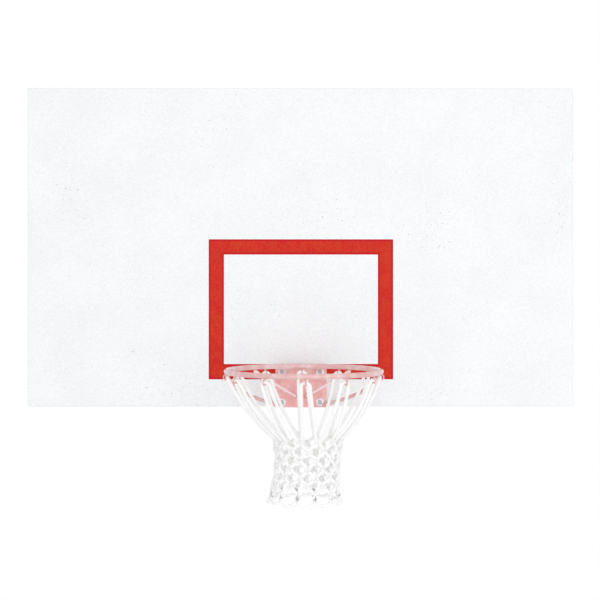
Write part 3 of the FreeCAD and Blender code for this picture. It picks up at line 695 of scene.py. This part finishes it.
def bolt_places(goal):
    """The four bolts' axes, at Y = 0."""
    low, high = node_box("front_washers")
    middle = (low + high) / 2
    across, up = np.meshgrid([-1, 1], [-1, 1])
    return stack(middle[0] + across.ravel() * goal.bolts_across / 2, 0.0,
                 middle[2] + up.ravel() * goal.bolts_up / 2)


def seat(goal, node):
    """Front and rear of a bolted node along Y, and its radius: half of its width less the bolts' spacing."""
    low, high = node_box(node)
    return low[1], high[1], (high[0] - low[0] - goal.bolts_across) / 2


def hexagon(angle, limit):
    """Radius of a bolt's hexagon at each angle, cut down to the limit of each row.

    It is half the width over the flats, over the cosine of the angle from the middle of a side."""
    radius = BOLT_FLATS / 2 / np.cos((angle + np.pi / 6) % (np.pi / 3) - np.pi / 6)
    return np.minimum(np.array(limit)[:, None] * BOLT_FLATS, radius)


# The net's shapes


def net_point(net, angle, drop, out=0.0):
    """A place on the net's wall: waist + flare - sqrt(flare^2 - (waist_drop - drop)^2) from the ring's axis.

    The angle runs from the front, and out is added to the radius. The net hangs a little to the right, by
    lean at the first knots and by a fifth of it at the hem."""
    radius = net.waist + net.flare - np.sqrt(net.flare ** 2 - (net.waist_drop - drop) ** 2) + out
    aside = net.lean * (1 - 0.8 * (drop - net.top_drop) / (net.bottom_drop - net.top_drop))
    return RING_CENTRE + stack(radius * np.sin(angle) + aside, -radius * np.cos(angle), -drop)


def compass(angle):
    """Level arrows at angles from the front: along the circle, (cos, sin), and outwards, (sin, -cos)."""
    return stack(np.cos(angle), np.sin(angle), 0.0), stack(np.sin(angle), -np.cos(angle), 0.0)


def from_axis(paths):
    """Level arrows from the ring's axis to the points of paths."""
    return (paths - RING_CENTRE) * np.array([1.0, 1.0, 0])


def knot_places(net, seed=12):
    """Angle, drop and outward shift of each knot: (rows, loops) each, a little uneven, as a net hangs.

    Every other row is half a space round, and the first row, which the long loops share, is even."""
    chance = np.random.default_rng(seed)
    row = np.arange(net.rows)[:, None]
    place = np.arange(net.loops)[None, :]
    uneven = np.minimum(row, 1)
    angle = (place + np.where(row % 2 == 0, 0.5, 0.0)) / net.loops * TURN
    angle = angle + chance.normal(0, KNOT_SPREAD_ROUND, angle.shape) * uneven
    drop = net.top_drop + row * net.row_pitch + chance.normal(0, KNOT_SPREAD_DOWN, angle.shape) * uneven
    out = chance.normal(0, KNOT_SPREAD_OUT, angle.shape) * uneven
    return angle, drop, out


def turn_near(angle, other):
    """The angle, moved by whole turns to within half a turn of the other."""
    return other + (angle - other + np.pi) % TURN - np.pi


def strand_paths(net, count=13):
    """Cords from each knot to the two knots below it.

    The drop is even, the angle eases in and out, 0.35 t + 0.65 smooth(t), and the bow outwards is a sine."""
    angle, drop, out = knot_places(net)
    t = np.linspace(0, 1, count)
    eased = 0.35 * t + 0.65 * smooth(t)
    paths = []
    for row in range(net.rows - 1):
        first = 0 if row % 2 == 0 else -1
        for shift in (first, first + 1):
            below = np.roll(np.arange(net.loops), -shift)
            to = turn_near(angle[row + 1, below], angle[row])
            at = angle[row][:, None] + (to - angle[row])[:, None] * eased
            down = drop[row][:, None] + (drop[row + 1, below] - drop[row])[:, None] * t
            level = out[row][:, None] * (1 - t) + out[row + 1, below][:, None] * t
            paths.append(net_point(net, at, down, level + STRAND_BOW * np.sin(np.pi * t)))
    return np.concatenate(paths)


def hem_paths(net, count=49, seed=5):
    """The open loops under the last knots: half an oval from knot to knot.

    The angle goes as -cos f, a little fuller by 0.16 sin f, and the drop as sin f to the power 0.9."""
    angle, drop, _ = knot_places(net)
    start, ahead = angle[-1], turn_near(np.roll(angle[-1], -1), angle[-1])
    f = np.linspace(0, np.pi, count)
    middle, half = (start + ahead)[:, None] / 2, (ahead - start)[:, None] / 2
    at = middle - half * np.cos(f) * (1 + 0.16 * np.sin(f))
    level = (drop[-1][:, None] * (1 + np.cos(f)) + np.roll(drop[-1], -1)[:, None] * (1 - np.cos(f))) / 2
    chance = np.random.default_rng(seed)
    low = net.bottom_drop - net.cord / 2 - HEM_SPREAD * chance.random((net.loops, 1))
    return net_point(net, at, level + (low - level) * np.sin(f) ** 0.9, HEM_BOW * np.sin(f))


def knot_paths(net, count=42, seed=31):
    """Overhand knots: (sin t + 2 sin 2t) across, (cos t - 2 cos 2t) down and -1.3 sin 3t outwards, over 3.

    Each is turned by its own small angle, so that no two look alike."""
    angle, drop, out = (values.ravel() for values in knot_places(net))
    chance = np.random.default_rng(seed)
    t = circle(count)
    tilt = chance.normal(0, 0.5, len(angle))[:, None]
    size = net.knot * (1 + chance.normal(0, 0.06, len(angle)))[:, None] / 3
    across, down = np.sin(t) + 2 * np.sin(2 * t), np.cos(t) - 2 * np.cos(2 * t)
    wide = size * (np.cos(tilt) * across - np.sin(tilt) * down)
    deep = size * (np.sin(tilt) * across + np.cos(tilt) * down)
    thick = -1.3 * size * np.sin(3 * t)
    sideways, outwards = (arrows[:, None] for arrows in compass(angle))
    centre = net_point(net, angle, drop, out)[:, None]
    paths = centre + wide[..., None] * sideways + thick[..., None] * outwards - deep[..., None] * UPWARD
    return paths, outwards


def loop_paths(goal, net, arm=130, bend=25, near=9):
    """The long loops: up from one knot, over the hook in a half turn, and down to the next knot.

    Each arm goes from the turn to the knot by r, with 4 r (1 - r) of sag outwards and down, where r is
    smooth(t)^0.75, so that its points are close at both ends. The turn lies in the plane of the two arms,
    as they are at the near point."""
    angle, drop, _ = knot_places(net)
    sideways, outwards = compass(circle(net.loops))
    eye = RING_ROD / 2 + goal.weld_gap + goal.hook_wire + goal.hook_eye / 2
    top = RING_CENTRE + RING_RADIUS * outwards - (eye + net.slack) * UPWARD
    beside = 0.5 * net.cord
    reach = smooth(np.linspace(0, 1, arm)[:, None]) ** 0.75
    arms = []
    for side, knots in ((-1, np.roll(np.arange(net.loops), 1)), (1, np.arange(net.loops))):
        foot = net_point(net, angle[0, knots], drop[0, knots]) - side * beside * sideways
        plumb = top + side * net.bend * sideways - net.bend * UPWARD
        fall = unit((foot + plumb) / 2 - top)
        fall = fall - (fall * sideways).sum(1)[:, None] * sideways
        leave = top + side * net.bend * sideways + net.bend * fall
        line = leave[:, None] + (foot - leave)[:, None] * reach
        sag = np.cross(sideways, unit(foot - leave))
        sag *= np.sign((sag * outwards).sum(1))[:, None]
        arms.append(line + net.sag * 4 * (reach * (1 - reach))[None] * sag[:, None])
    half = np.linspace(0, np.pi, bend)[1:-1][:, None]
    down = unit(arms[1][:, near] - arms[1][:, 0] + arms[0][:, near] - arms[0][:, 0])
    turn_centre = (arms[0][:, 0] + arms[1][:, 0])[:, None] / 2
    over = turn_centre - net.bend * np.cos(half) * sideways[:, None] - net.bend * np.sin(half) * down[:, None]
    return np.concatenate([arms[0][:, ::-1], over, arms[1]], axis=1), outwards[:, None]


# Operators


class BACKBOARD_OT_board(Operator):
    """Paint the pan, its rails, stiffeners and backing plate"""
    bl_idname = "backboard.board"
    bl_label = "Board"

    def execute(self, context):
        rows = frame["record"]["subparts"]
        white = [row["node"] for row in rows if row["material_slot"] == "board_paint"]
        dress("white_powder_coat", *white)
        return {"FINISHED"}


class BACKBOARD_OT_frame_welds(Operator):
    """Stitch welds that hold the rails and stiffeners to the back of the sheet"""
    bl_idname = "backboard.frame_welds"
    bl_label = "Frame welds"

    stitch: length("Stitch", "Length of one weld", 0.038)
    pitch: length("Pitch", "From one weld to the next", 0.150)

    def execute(self, context):
        goal = context.scene.backboard_goal
        skin = Skin()
        stitch = np.linspace(-self.stitch / 2, self.stitch / 2, 25)
        for node in frame["nodes"]:
            if not node.endswith(("rail", "brace")):
                continue
            low, high = node_box(node)
            axis = 2 if node.endswith("rail") else 0
            span = high[axis] - low[axis]
            count = max(2, int(span / self.pitch))
            middles = low[axis] + span * (np.arange(count) + 0.5) / count
            # A rail's web is on its side towards the middle, and a stiffener's is at its top
            if axis == 0:
                faces = (high[2] - BRACE_WEB, high[2])
            elif low[0] > 0:
                faces = (low[0], low[0] + RAIL_WEB)
            else:
                faces = (high[0] - RAIL_WEB, high[0])
            for face in faces:
                paths = np.zeros((count, len(stitch), 3))
                paths[..., 1] = low[1] + BEAD_STAND * goal.bead
                paths[..., axis] = middles[:, None] + stitch
                paths[..., 2 - axis] = face
                bead(skin, paths, goal.bead, REARWARD)
        skin.piece("frame_welds", "white_powder_coat", "board")
        return {"FINISHED"}


class BACKBOARD_OT_target(Operator):
    """Paint the shooter's square"""
    bl_idname = "backboard.target"
    bl_label = "Target"

    def execute(self, context):
        dress("red_enamel", "target_border")
        return {"FINISHED"}


class BACKBOARD_OT_bracket(Operator):
    """Paint the bracket that carries the ring"""
    bl_idname = "backboard.bracket"
    bl_label = "Bracket"

    def execute(self, context):
        dress("faded_powder_coat", "goal_bracket")
        return {"FINISHED"}


class BACKBOARD_OT_ring(Operator):
    """The ring: a round rod bent to a full circle"""
    bl_idname = "backboard.ring"
    bl_label = "Ring"

    def execute(self, context):
        path = ring_point(circle(RING_STEPS), RING_RADIUS, 0.0)[None]
        skin = Skin().add(*tube(path, RING_ROD / 2, RING_SIDES, UPWARD, closed=True), closed=True)
        skin.piece("ring_rod", "chalked_powder_coat", "board", ["ring"])
        return {"FINISHED"}


class BACKBOARD_OT_rods(Operator):
    """The bent braces and the straight struts under the ring"""
    bl_idname = "backboard.rods"
    bl_label = "Braces and struts"

    def execute(self, context):
        goal = context.scene.backboard_goal
        for name, side in (("left", -1), ("right", 1)):
            for kind, path, rod, finish in (
                ("brace", brace_path(goal, side), goal.brace_rod, "chalked_powder_coat"),
                # The struts' pale coat is a painted highlight
                ("strut", strut_path(goal, side), goal.strut_rod, "bleached_powder_coat"),
            ):
                skin = Skin().add(*tube(path[None], rod / 2, ROD_SIDES, UPWARD, bulge=0.15))
                skin.piece(f"{kind}_rod_{name}", finish, "board", [f"{kind}_{name}"])
        return {"FINISHED"}


class BACKBOARD_OT_goal_welds(Operator):
    """Weld beads between the ring, its bracket, its braces and its struts"""
    bl_idname = "backboard.goal_welds"
    bl_label = "Goal welds"

    def execute(self, context):
        goal = context.scene.backboard_goal
        skin = Skin()
        self.seams(skin, goal)
        for side in (-1, 1):
            self.rod_ends(skin, goal, brace_path(goal, side), goal.brace_rod)
            self.rod_ends(skin, goal, strut_path(goal, side), goal.strut_rod)
        skin.piece("goal_welds", "chalked_powder_coat", "board")
        return {"FINISHED"}

    def seams(self, skin, goal, short=0.03, count=120):
        """Two beads along the ring's rear, on the bracket, that stop a little short of its sides.

        Each lies out from the middle of the ring's rod, and under it, by shares of the rod."""
        half = math.asin(PLATE_HIGH[0] / (RING_RADIUS + RING_ROD / 2)) - short
        seam = np.linspace(-half, half, count)
        for out, rise in ((0.50, -0.17), (0.30, -0.45)):
            path = ring_point(seam, RING_RADIUS + out * RING_ROD, rise * RING_ROD)
            bead(skin, path[None], goal.bead, UPWARD)

    def rod_ends(self, skin, goal, path, rod):
        """A bead round the rod's end on the plate, and one along each side of it under the ring.

        The second kind begins at the rod's start, and its places are shares of the rod."""
        bead(skin, collar(path, rod / 2 + BEAD_STAND * goal.bead)[None], goal.bead, REARWARD, True)
        heading = unit(path[1] - path[0])
        sideways = unit(np.cross(heading, UPWARD))
        run = np.linspace(0.1, 2.2, 20)[:, None] * rod * heading
        for lay in (-1, 1):
            edge = path[0] + run + UPWARD * 0.5 * rod + lay * 0.30 * rod * sideways
            bead(skin, edge[None], 0.8 * goal.bead, UPWARD)


class BACKBOARD_OT_hooks(Operator):
    """Wire hooks under the ring, each tacked on by two small welds"""
    bl_idname = "backboard.hooks"
    bl_label = "Net hooks"

    sweep: degrees("Sweep", "How far the wire goes round the eye", 300)

    def execute(self, context):
        goal, net = context.scene.backboard_goal, context.scene.backboard_net
        angles = hook_angles(net)
        outwards = stack(np.sin(angles), np.cos(angles), 0 * angles)[:, None]
        around = stack(np.cos(angles), -np.sin(angles), 0 * angles)[:, None]
        wire = goal.hook_wire
        eye = (goal.hook_eye + wire) / 2
        drop = RING_ROD / 2 + goal.weld_gap + wire / 2 + eye
        middle = ring_point(angles, RING_RADIUS, -drop)[:, None]
        # From the eye's top, the wire goes outwards and round: eye * (cos t * up + sin t * out)
        turn = np.linspace(0, self.sweep, 49)[:, None]
        paths = middle + eye * (np.cos(turn) * UPWARD + np.sin(turn) * outwards)
        skin = Skin().add(*tube(paths, wire / 2, WIRE_SIDES, around, bulge=0.8))
        # A tack on both sides of the wire, with its places in shares of the wire
        reach = np.linspace(-0.7, 0.7, 9)[:, None] * wire
        for lay in (-1, 1):
            tack = middle + (eye + 0.42 * wire) * UPWARD + reach * outwards
            bead(skin, tack + lay * 0.36 * wire * around, 0.5 * wire, UPWARD)
        skin.piece("net_hook_wires", "chalked_powder_coat", "board", ["net_hooks"])
        return {"FINISHED"}


class BACKBOARD_OT_fasteners(Operator):
    """Hex bolts, flat washers, split lock washers and hex nuts of the goal"""
    bl_idname = "backboard.fasteners"
    bl_label = "Fasteners"

    sides: IntProperty(name="Sides", description="Steps round a head, nut or washer", default=60)

    def execute(self, context):
        goal = context.scene.backboard_goal
        places = bolt_places(goal)
        head_top, tip, _ = seat(goal, "goal_bolts")
        washer_front, _, _ = seat(goal, "front_washers")
        nut_front, nut_rear, _ = seat(goal, "goal_nuts")
        bolts = Skin().add(*self.head(places, washer_front, head_top))
        bolts.add(*self.shaft(places, goal.thread_pitch, washer_front, nut_front, tip))
        bolts.piece("goal_bolt_set", "dull_zinc", "board", ["goal_bolts"], crease=30)
        for node in ("front_washers", "rear_washers"):
            flat = Skin().add(*self.flat_washer(places, *seat(goal, node)), closed=True)
            # The washers' lighter zinc is partly a painted reflection
            flat.piece(f"{node[:-1]}_set", "bright_zinc", "board", [node], crease=50)
        split = Skin().add(*self.split_washer(places, *seat(goal, "lock_washers")))
        split.piece("lock_washer_set", "dull_zinc", "board", ["lock_washers"], crease=50)
        nuts = Skin().add(*self.nut(places, nut_front, nut_rear), closed=True)
        nuts.piece("goal_nut_set", "dull_zinc", "board", ["goal_nuts"], crease=30)
        return {"FINISHED"}

    def head(self, places, rest, top):
        """A hexagon on a thin round foot, with a domed top: rows over its height, limits over its flats."""
        rows = np.array([0, 0, 0.06, 0.06, 0.66, 0.74, 0.82, 0.90, 0.97, 1, 1]) * (rest - top)
        limit = (0, 0.46, 0.46, 0.60, 0.60, 0.575, 0.55, 0.522, 0.495, 0.47, 0)
        return turned(places + rest * REARWARD, rows, hexagon(circle(self.sides), limit), self.sides, -1)

    def shaft(self, places, pitch, start, nut, tip):
        """A plain shank up to the nut, then a thread and a blunt point.

        The thread's radius is the shank's less twice the depth times the turns from the helix's crest."""
        angle = circle(self.sides)[None, ::2]
        radius = BOLT_SHANK / 2
        # The shank begins in the front washer, and the thread leaves room for the blunt point
        plain = np.array([start + 0.0005, start + 0.0005, nut])
        turns = np.arange(nut + 0.0002, tip - 0.0012, pitch / 8)
        helix = (turns[:, None] / pitch - angle / TURN) % 1 - 0.5
        thread = radius - THREAD_DEPTH * 2 * np.abs(helix)
        shank = np.array([[0.0], [radius], [radius]]) + 0 * angle
        point = np.array([[radius - BOLT_POINT], [0.0]]) + 0 * angle
        rows = np.concatenate([plain, turns, [tip, tip]])
        return turned(places, rows, np.concatenate([shank, thread, point]), self.sides // 2, 1)

    def flat_washer(self, places, front, rear, outer, play=0.0003):
        """A turned ring round the shank, eased at its outer edges by a share of its thickness."""
        bore, thick = BOLT_SHANK / 2 + play, rear - front
        ease = 0.18 * thick
        rows = front + np.array([0, 0, ease, thick - ease, thick, thick])
        radii = np.array([bore, outer - ease, outer, outer, outer - ease, bore])
        return turned(places, rows, radii, self.sides, 1)

    def split_washer(self, places, front, rear, outer, play=0.0004, count=64, skew=0.18):
        """A square section with eased corners carried round a circle that is cut at a slant.

        The angle is skewed by the depth in the section, and both ends close on the section's middle."""
        bore, gap = BOLT_SHANK / 2 + play, math.radians(5)
        middle, half_wide, half_thick = (outer + bore) / 2, (outer - bore) / 2, (rear - front) / 2
        section = np.array([[-1, -0.8], [-0.8, -1], [0.8, -1], [1, -0.8],
                            [1, 0.8], [0.8, 1], [-0.8, 1], [-1, 0.8]])
        turn = np.pad(np.linspace(gap, TURN - gap, count), 1, mode="edge")
        open_rows = np.pad(np.ones(count), 1)[:, None]
        radius = middle + open_rows * section[:, 0] * half_wide
        depth = open_rows * section[:, 1] * half_thick
        at = turn[:, None] + skew * depth / half_thick
        local = stack(radius * np.sin(at), depth + (front + rear) / 2, radius * np.cos(at))
        points = places[:, None, None] + local
        return points, np.broadcast_to(turn * middle, points.shape[:2])

    def nut(self, places, front, rear):
        """A hexagon with a chamfer at both ends and a bore: rows over its height, limits over its flats."""
        rows = front + np.array([0, 0, 0.10, 0.20, 0.80, 0.90, 1, 1, 0.9, 0.1]) * (rear - front)
        limit = (0.40, 0.475, 0.53, 0.60, 0.60, 0.53, 0.475, 0.40, 0.345, 0.345)
        return turned(places, rows, hexagon(circle(self.sides), limit), self.sides, 1)


class BACKBOARD_OT_net_loops(Operator):
    """The net's long upper loops, from over the hooks down to the knotted part below"""
    bl_idname = "backboard.net_loops"
    bl_label = "Net loops"

    def execute(self, context):
        goal, net = context.scene.backboard_goal, context.scene.backboard_net
        paths, outwards = loop_paths(goal, net)
        skin = Skin().add(*tube(paths, net.cord / 2, CORD_SIDES, outwards, bulge=0.8, depth=BRAID_DEPTH))
        made = skin.piece("net_long_loops", "braided_cord", None, ["net_loops"], crease=70)
        hinge = np.array(frame["joints"][0]["pos_m"], dtype=float)
        foot = hinge.copy()
        foot[2] = RING_CENTRE[2] - net.top_drop
        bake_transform(made)
        return {"FINISHED"}


class BACKBOARD_OT_net_mesh(Operator):
    """The net's knotted part: strands from knot to knot, the knots, and the open loops of the hem"""
    bl_idname = "backboard.net_mesh"
    bl_label = "Net mesh"

    def execute(self, context):
        net = context.scene.backboard_net
        strands, hem = strand_paths(net), hem_paths(net)
        skin = Skin().add(*tube(strands, net.cord / 2, STRAND_SIDES, from_axis(strands)))
        skin.add(*tube(hem, net.cord / 2, CORD_SIDES, from_axis(hem), depth=BRAID_DEPTH))
        skin.piece("net_strands", "braided_cord", "net", ["net_mesh"], crease=70)
        knots, facing = knot_paths(net)
        skin = Skin().add(*tube(knots, KNOT_CORD * net.cord, KNOT_SIDES, facing, True), closed=True)
        skin.piece("net_knots", "braided_cord", "net", ["net_mesh"], crease=70)
        return {"FINISHED"}


class BACKBOARD_OT_stage(Operator):
    """Camera, soft studio light, white surround and pale floor"""
    bl_idname = "backboard.stage"
    bl_label = "Stage"

    def execute(self, context):
        stage = context.scene.backboard_stage
        context.scene.view_settings.view_transform = "Standard"
        self.camera(context, stage)
        self.lights(context)
        self.surround(context)
        self.floor(context, stage)
        return {"FINISHED"}

    def camera(self, context, stage):
        """A level camera a little to the left, nearly square to the board, with its frame shifted."""
        lens = bpy.data.cameras.new("camera")
        lens.sensor_width, lens.sensor_fit, lens.lens = 36.0, "HORIZONTAL", stage.lens
        lens.shift_x, lens.shift_y = stage.shift_across, stage.shift_up
        lens.clip_end = 200.0
        made = bpy.data.objects.new("camera", lens)
        made.location = (-stage.aside, FACE - stage.distance, -stage.below)
        made.rotation_euler = (math.pi / 2, 0, -stage.turn)
        context.scene.collection.objects.link(made)
        context.scene.camera = made

    def lights(self, context):
        """Soft boxes: a large one in front, a key at the right, one behind and a small one overhead."""
        for name, place, size, watts in (
            ("front", (-0.4, -7.0, -0.6), 5.0, 86.0),
            ("key", (3.6, -5.2, 0.2), 4.0, 35.0),
            ("rear", (-2.0, 5.0, 2.5), 4.0, 60.0),
            ("overhead", (0.9, -5.8, 3.7), 1.1, 28.0),
        ):
            box = bpy.data.lights.new(name, "AREA")
            box.shape, box.size, box.energy = "SQUARE", size, watts
            made = bpy.data.objects.new(name, box)
            made.location = place
            made.rotation_euler = (-made.location).to_track_quat("-Z", "Y").to_euler()
            context.scene.collection.objects.link(made)

    def surround(self, context):
        """White to the camera and in reflections, and a soft grey fill for everything else."""
        world = bpy.data.worlds.new("surround")
        world.use_nodes = True
        context.scene.world = world
        nodes = Nodes(world.node_tree)
        output = world.node_tree.nodes["World Output"]
        fill = nodes.node("ShaderNodeBackground", None, {"Color": (1.0, 1.0, 1.0), "Strength": FILL})
        white = nodes.node("ShaderNodeBackground", None, {"Color": (1.0, 1.0, 1.0), "Strength": 1.0})
        nodes.put(output.inputs["Surface"], nodes.node(
            "ShaderNodeMixShader", None, {0: self.seen(nodes), 1: fill, 2: white}))

    def floor(self, context, stage, rings=13, steps=72):
        """A pale round floor, r cos a and r sin a, that fades to white at its rim."""
        level = RING_CENTRE[2] + RING_ROD / 2 - stage.floor_drop
        reach = np.linspace(0, FLOOR_RADIUS, rings)[:, None]
        around = circle(steps)
        points = stack(reach * np.cos(around), reach * np.sin(around) - FLOOR_FORWARD, level + 0 * reach)
        mesh = Skin().add(points[None], reach.T).mesh("floor")
        paint = Finish("floor_paint", Roughness=0.8, Base_Color=(0.86, 0.86, 0.86, 1.0))
        across, deep, _ = paint.axes(paint.place)
        rim = ((across ** 2.0 + (deep + FLOOR_FORWARD) ** 2.0) ** 0.5).step(*FLOOR_FADE)
        white = paint.node("ShaderNodeEmission", None, {"Color": (1.0, 1.0, 1.0), "Strength": 1.0})
        output = paint.tree.nodes["Material Output"]
        painted = Sock(paint, paint.shader.outputs[0])
        paint.put(output.inputs["Surface"], paint.node(
            "ShaderNodeMixShader", None, {0: rim * self.seen(paint), 1: painted, 2: white}))
        mesh.materials.append(paint.material)
        made = bpy.data.objects.new("floor", mesh)
        context.scene.collection.objects.link(made)

    def seen(self, nodes):
        """1 for rays from the camera and for those that reflections and glass send on."""
        path = nodes.node("ShaderNodeLightPath").socket.node
        rays = [Sock(nodes, path.outputs[kind]) for kind in
                ("Is Camera Ray", "Is Glossy Ray", "Is Transmission Ray")]
        return rays[0].most(rays[1]).most(rays[2])


PROPERTIES = {
    "backboard_paint": BackboardPaint,
    "backboard_goal": BackboardGoal,
    "backboard_net": BackboardNet,
    "backboard_stage": BackboardStage,
}
OPERATORS = (
    BACKBOARD_OT_board,
    BACKBOARD_OT_frame_welds,
    BACKBOARD_OT_target,
    BACKBOARD_OT_bracket,
    BACKBOARD_OT_ring,
    BACKBOARD_OT_rods,
    BACKBOARD_OT_goal_welds,
    BACKBOARD_OT_hooks,
    BACKBOARD_OT_fasteners,
    BACKBOARD_OT_net_loops,
    BACKBOARD_OT_net_mesh,
    BACKBOARD_OT_stage,
)


class BACKBOARD_PT_pieces(Panel):
    """The pieces of the backboard, each with its own button"""
    bl_idname = "BACKBOARD_PT_pieces"
    bl_label = "Backboard"
    bl_space_type = "VIEW_3D"
    bl_region_type = "UI"
    bl_category = "Backboard"

    def draw(self, context):
        for group in PROPERTIES:
            box = self.layout.box()
            for name in getattr(context.scene, group).bl_rna.properties.keys():
                if name not in ("rna_type", "name"):
                    box.prop(getattr(context.scene, group), name)
        for operator in OPERATORS:
            self.layout.operator(operator.bl_idname)


CLASSES = (*PROPERTIES.values(), *OPERATORS, BACKBOARD_PT_pieces)


def register():
    """Add the classes and the scene's settings."""
    for item in CLASSES:
        bpy.utils.register_class(item)
    for name, group in PROPERTIES.items():
        setattr(bpy.types.Scene, name, PointerProperty(type=group))


def unregister():
    """Take the settings and the classes away again."""
    for name in PROPERTIES:
        delattr(bpy.types.Scene, name)
    for item in reversed(CLASSES):
        bpy.utils.unregister_class(item)


def main():
    register()
    for operator in OPERATORS:
        group, name = operator.bl_idname.split(".")
        getattr(getattr(bpy.ops, group), name)()


if __name__ == "__main__":
    main()
